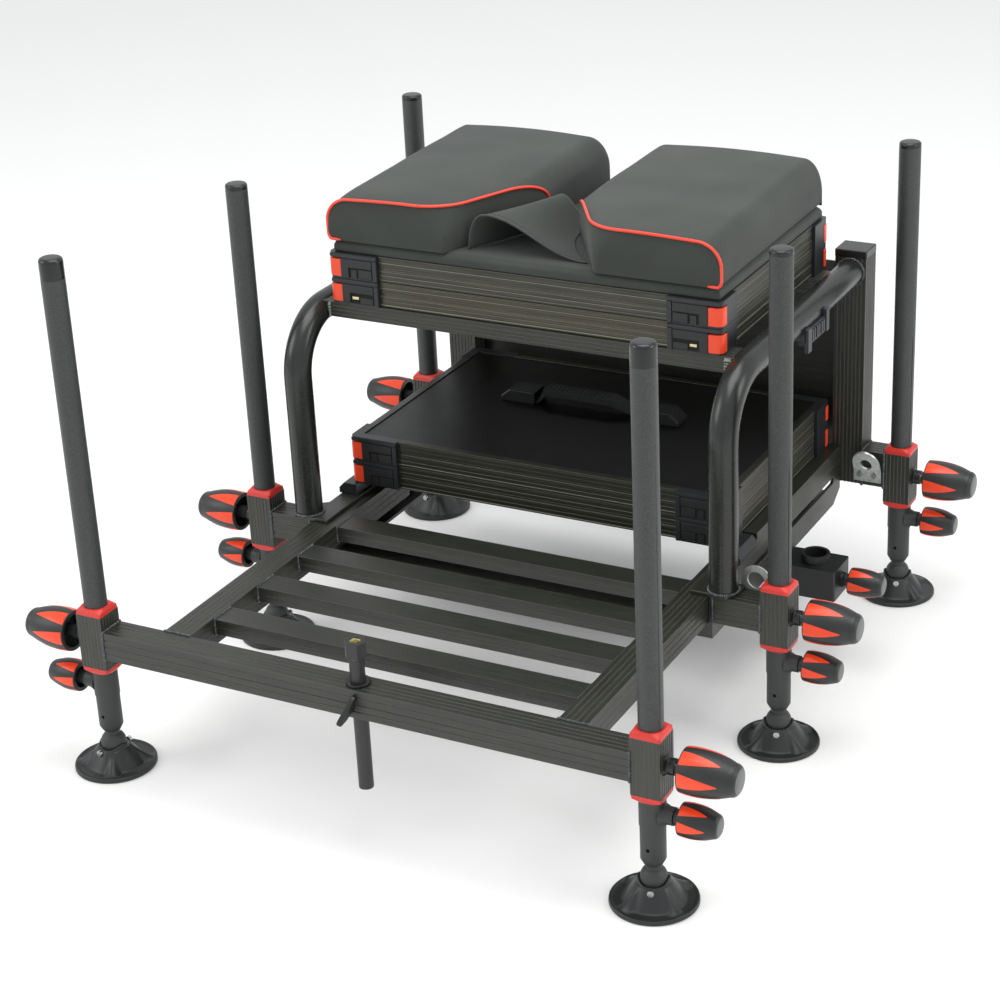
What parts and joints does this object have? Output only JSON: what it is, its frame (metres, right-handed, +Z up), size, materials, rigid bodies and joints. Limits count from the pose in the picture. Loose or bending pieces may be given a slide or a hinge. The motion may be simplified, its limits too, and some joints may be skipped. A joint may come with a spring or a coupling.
{
  "type": "fishing seat box",
  "caption": "Fishing seat box: six-legged frame with two tray stacks, hinged padded seat and a slatted footplate that slides out in front.",
  "frame": {"origin": "on the floor, midway between the outermost pieces in X and Y", "axes": "+X to the right as seen from the front, +Y to the back, +Z up; the footplate and the front legs are at -Y"},
  "size_m": [0.831, 0.8134, 0.585],
  "materials": {
    "frame_metal": "satin black powder coat on ribbed aluminium",
    "tray_metal": "satin anodised dark olive black",
    "leg_grey": "satin dark grey coating on aluminium tube",
    "bush_red": "moulded red plastic",
    "catch_red": "moulded red-orange plastic",
    "knob_plastic": "dark grey with red inserts",
    "black_plastic": "moulded black plastic",
    "foot_plastic": "moulded black nylon",
    "zinc": "bright zinc plate",
    "seat_fabric": "dark grey coated woven cloth"
  },
  "bodies": {
    "frame": {"side_channels": "frame_metal", "frame_crossbars": "frame_metal", "base_clamp_blocks": "frame_metal", "base_bushes": "bush_red", "arch_frame": "frame_metal", "rear_frame": "frame_metal", "tie_lugs": "zinc", "tray_brackets": "black_plastic", "strap_buckle": "black_plastic", "accessory_clamp": "black_plastic", "lower_tray": "tray_metal", "upper_tray": "tray_metal"},
    "footplate": {"footplate_frame": "frame_metal", "footplate_clamp_blocks": "frame_metal", "footplate_bushes": "bush_red"},
    "seat": {"seat_tray": "tray_metal", "seat_board": "seat_fabric", "seat_cushions": "seat_fabric", "seat_flap": "seat_fabric"},
    "lid": {"lid_tray": "tray_metal"},
    "accessory_rod": {"accessory_rod": "frame_metal"},
    "wing_screw": {"wing_screw": "black_plastic"},
    "accessory_clamp_knob": {"accessory_clamp_knob": "knob_plastic"},
    "lid_handle": {"lid_handle": "black_plastic"},
    "tray_catches_right": {"tray_catches_right": "catch_red"},
    "tray_catches_left": {"tray_catches_left": "catch_red"},
    "lid_catches_right": {"lid_catches_right": "catch_red"},
    "lid_catches_left": {"lid_catches_left": "catch_red"},
    "seat_catches_right": {"seat_catches_right": "catch_red"},
    "seat_catches_left": {"seat_catches_left": "catch_red"},
    "leg_front_right": {"leg_front_right": "leg_grey"},
    "stem_front_right": {"stem_front_right": "black_plastic"},
    "foot_front_right": {"foot_front_right": "foot_plastic"},
    "leg_knob_front_right": {"leg_knob_front_right": "knob_plastic"},
    "stem_knob_front_right": {"stem_knob_front_right": "knob_plastic"},
    "leg_front_left": {"leg_front_left": "leg_grey"},
    "stem_front_left": {"stem_front_left": "black_plastic"},
    "foot_front_left": {"foot_front_left": "foot_plastic"},
    "leg_knob_front_left": {"leg_knob_front_left": "knob_plastic"},
    "stem_knob_front_left": {"stem_knob_front_left": "knob_plastic"},
    "leg_middle_right": {"leg_middle_right": "leg_grey"},
    "stem_middle_right": {"stem_middle_right": "black_plastic"},
    "foot_middle_right": {"foot_middle_right": "foot_plastic"},
    "leg_knob_middle_right": {"leg_knob_middle_right": "knob_plastic"},
    "stem_knob_middle_right": {"stem_knob_middle_right": "knob_plastic"},
    "leg_middle_left": {"leg_middle_left": "leg_grey"},
    "stem_middle_left": {"stem_middle_left": "black_plastic"},
    "foot_middle_left": {"foot_middle_left": "foot_plastic"},
    "leg_knob_middle_left": {"leg_knob_middle_left": "knob_plastic"},
    "stem_knob_middle_left": {"stem_knob_middle_left": "knob_plastic"},
    "leg_rear_right": {"leg_rear_right": "leg_grey"},
    "stem_rear_right": {"stem_rear_right": "black_plastic"},
    "foot_rear_right": {"foot_rear_right": "foot_plastic"},
    "leg_knob_rear_right": {"leg_knob_rear_right": "knob_plastic"},
    "stem_knob_rear_right": {"stem_knob_rear_right": "knob_plastic"},
    "leg_rear_left": {"leg_rear_left": "leg_grey"},
    "stem_rear_left": {"stem_rear_left": "black_plastic"},
    "foot_rear_left": {"foot_rear_left": "foot_plastic"},
    "leg_knob_rear_left": {"leg_knob_rear_left": "knob_plastic"},
    "stem_knob_rear_left": {"stem_knob_rear_left": "knob_plastic"}
  },
  "joints": [
    {"name": "footplate_slide", "type": "slide", "parent": "frame", "child": "footplate", "axis": [0, 1, 0], "range_m": [0, 0.22]},
    {"name": "leg_slide_front_right", "type": "slide", "parent": "footplate", "child": "leg_front_right", "axis": [0, 0, -1], "range_m": [0, 0.3]},
    {"name": "stem_slide_front_right", "type": "slide", "parent": "leg_front_right", "child": "stem_front_right", "axis": [0, 0, -1], "range_m": [0, 0.12]},
    {"name": "foot_tilt_front_right", "type": "hinge", "parent": "stem_front_right", "child": "foot_front_right", "pos_m": [0.3245, -0.36175, 0.028], "axis": [1, 0, 0], "range_deg": [-20, 20]},
    {"name": "leg_knob_turn_front_right", "type": "hinge", "parent": "footplate", "child": "leg_knob_front_right", "pos_m": [0.3585, -0.36175, 0.1575], "axis": [1, 0, 0], "continuous": true},
    {"name": "stem_knob_turn_front_right", "type": "hinge", "parent": "leg_front_right", "child": "stem_knob_front_right", "pos_m": [0.3555, -0.36175, 0.102], "axis": [1, 0, 0], "continuous": true},
    {"name": "leg_slide_front_left", "type": "slide", "parent": "footplate", "child": "leg_front_left", "axis": [0, 0, -1], "range_m": [0, 0.3]},
    {"name": "stem_slide_front_left", "type": "slide", "parent": "leg_front_left", "child": "stem_front_left", "axis": [0, 0, -1], "range_m": [0, 0.12]},
    {"name": "foot_tilt_front_left", "type": "hinge", "parent": "stem_front_left", "child": "foot_front_left", "pos_m": [-0.3245, -0.36175, 0.028], "axis": [1, 0, 0], "range_deg": [-20, 20]},
    {"name": "leg_knob_turn_front_left", "type": "hinge", "parent": "footplate", "child": "leg_knob_front_left", "pos_m": [-0.3585, -0.36175, 0.1575], "axis": [-1, 0, 0], "continuous": true},
    {"name": "stem_knob_turn_front_left", "type": "hinge", "parent": "leg_front_left", "child": "stem_knob_front_left", "pos_m": [-0.3555, -0.36175, 0.102], "axis": [-1, 0, 0], "continuous": true},
    {"name": "leg_slide_middle_right", "type": "slide", "parent": "frame", "child": "leg_middle_right", "axis": [0, 0, -1], "range_m": [0, 0.28]},
    {"name": "stem_slide_middle_right", "type": "slide", "parent": "leg_middle_right", "child": "stem_middle_right", "axis": [0, 0, -1], "range_m": [0, 0.12]},
    {"name": "foot_tilt_middle_right", "type": "hinge", "parent": "stem_middle_right", "child": "foot_middle_right", "pos_m": [0.3245, -0.03275, 0.028], "axis": [1, 0, 0], "range_deg": [-20, 20]},
    {"name": "leg_knob_turn_middle_right", "type": "hinge", "parent": "frame", "child": "leg_knob_middle_right", "pos_m": [0.3585, -0.03275, 0.1575], "axis": [1, 0, 0], "continuous": true},
    {"name": "stem_knob_turn_middle_right", "type": "hinge", "parent": "leg_middle_right", "child": "stem_knob_middle_right", "pos_m": [0.3555, -0.03275, 0.102], "axis": [1, 0, 0], "continuous": true},
    {"name": "leg_slide_middle_left", "type": "slide", "parent": "frame", "child": "leg_middle_left", "axis": [0, 0, -1], "range_m": [0, 0.28]},
    {"name": "stem_slide_middle_left", "type": "slide", "parent": "leg_middle_left", "child": "stem_middle_left", "axis": [0, 0, -1], "range_m": [0, 0.12]},
    {"name": "foot_tilt_middle_left", "type": "hinge", "parent": "stem_middle_left", "child": "foot_middle_left", "pos_m": [-0.3245, -0.03275, 0.028], "axis": [1, 0, 0], "range_deg": [-20, 20]},
    {"name": "leg_knob_turn_middle_left", "type": "hinge", "parent": "frame", "child": "leg_knob_middle_left", "pos_m": [-0.3585, -0.03275, 0.1575], "axis": [-1, 0, 0], "continuous": true},
    {"name": "stem_knob_turn_middle_left", "type": "hinge", "parent": "leg_middle_left", "child": "stem_knob_middle_left", "pos_m": [-0.3555, -0.03275, 0.102], "axis": [-1, 0, 0], "continuous": true},
    {"name": "leg_slide_rear_right", "type": "slide", "parent": "frame", "child": "leg_rear_right", "axis": [0, 0, -1], "range_m": [0, 0.28]},
    {"name": "stem_slide_rear_right", "type": "slide", "parent": "leg_rear_right", "child": "stem_rear_right", "axis": [0, 0, -1], "range_m": [0, 0.12]},
    {"name": "foot_tilt_rear_right", "type": "hinge", "parent": "stem_rear_right", "child": "foot_rear_right", "pos_m": [0.3245, 0.36175, 0.028], "axis": [1, 0, 0], "range_deg": [-20, 20]},
    {"name": "leg_knob_turn_rear_right", "type": "hinge", "parent": "frame", "child": "leg_knob_rear_right", "pos_m": [0.3585, 0.36175, 0.1575], "axis": [1, 0, 0], "continuous": true},
    {"name": "stem_knob_turn_rear_right", "type": "hinge", "parent": "leg_rear_right", "child": "stem_knob_rear_right", "pos_m": [0.3555, 0.36175, 0.102], "axis": [1, 0, 0], "continuous": true},
    {"name": "leg_slide_rear_left", "type": "slide", "parent": "frame", "child": "leg_rear_left", "axis": [0, 0, -1], "range_m": [0, 0.28]},
    {"name": "stem_slide_rear_left", "type": "slide", "parent": "leg_rear_left", "child": "stem_rear_left", "axis": [0, 0, -1], "range_m": [0, 0.12]},
    {"name": "foot_tilt_rear_left", "type": "hinge", "parent": "stem_rear_left", "child": "foot_rear_left", "pos_m": [-0.3245, 0.36175, 0.028], "axis": [1, 0, 0], "range_deg": [-20, 20]},
    {"name": "leg_knob_turn_rear_left", "type": "hinge", "parent": "frame", "child": "leg_knob_rear_left", "pos_m": [-0.3585, 0.36175, 0.1575], "axis": [-1, 0, 0], "continuous": true},
    {"name": "stem_knob_turn_rear_left", "type": "hinge", "parent": "leg_rear_left", "child": "stem_knob_rear_left", "pos_m": [-0.3555, 0.36175, 0.102], "axis": [-1, 0, 0], "continuous": true},
    {"name": "rod_slide", "type": "slide", "parent": "footplate", "child": "accessory_rod", "axis": [0, 0, 1], "range_m": [-0.015, 0.085]},
    {"name": "wing_screw_turn", "type": "hinge", "parent": "footplate", "child": "wing_screw", "pos_m": [0, -0.37775, 0.15216], "axis": [0, -1, 0], "continuous": true},
    {"name": "clamp_knob_turn", "type": "hinge", "parent": "frame", "child": "accessory_clamp_knob", "pos_m": [0.331, 0.17425, 0.1025], "axis": [1, 0, 0], "continuous": true},
    {"name": "seat_hinge", "type": "hinge", "parent": "frame", "child": "seat", "pos_m": [0, 0.32975, 0.45235], "axis": [-1, 0, 0], "range_deg": [0, 85]},
    {"name": "lid_hinge", "type": "hinge", "parent": "frame", "child": "lid", "pos_m": [0, 0.34475, 0.22035], "axis": [-1, 0, 0], "range_deg": [0, 26]},
    {"name": "handle_lift", "type": "slide", "parent": "lid", "child": "lid_handle", "axis": [0, 0, 1], "range_m": [0, 0.007]},
    {"name": "tray_catches_slide_right", "type": "slide", "parent": "frame", "child": "tray_catches_right", "axis": [1, 0, 0], "range_m": [0, 0.006]},
    {"name": "tray_catches_slide_left", "type": "slide", "parent": "frame", "child": "tray_catches_left", "axis": [-1, 0, 0], "range_m": [0, 0.006]},
    {"name": "lid_catches_slide_right", "type": "slide", "parent": "lid", "child": "lid_catches_right", "axis": [1, 0, 0], "range_m": [0, 0.006]},
    {"name": "lid_catches_slide_left", "type": "slide", "parent": "lid", "child": "lid_catches_left", "axis": [-1, 0, 0], "range_m": [0, 0.006]},
    {"name": "seat_catches_slide_right", "type": "slide", "parent": "seat", "child": "seat_catches_right", "axis": [1, 0, 0], "range_m": [0, 0.006]},
    {"name": "seat_catches_slide_left", "type": "slide", "parent": "seat", "child": "seat_catches_left", "axis": [-1, 0, 0], "range_m": [0, 0.006]}
  ]
}
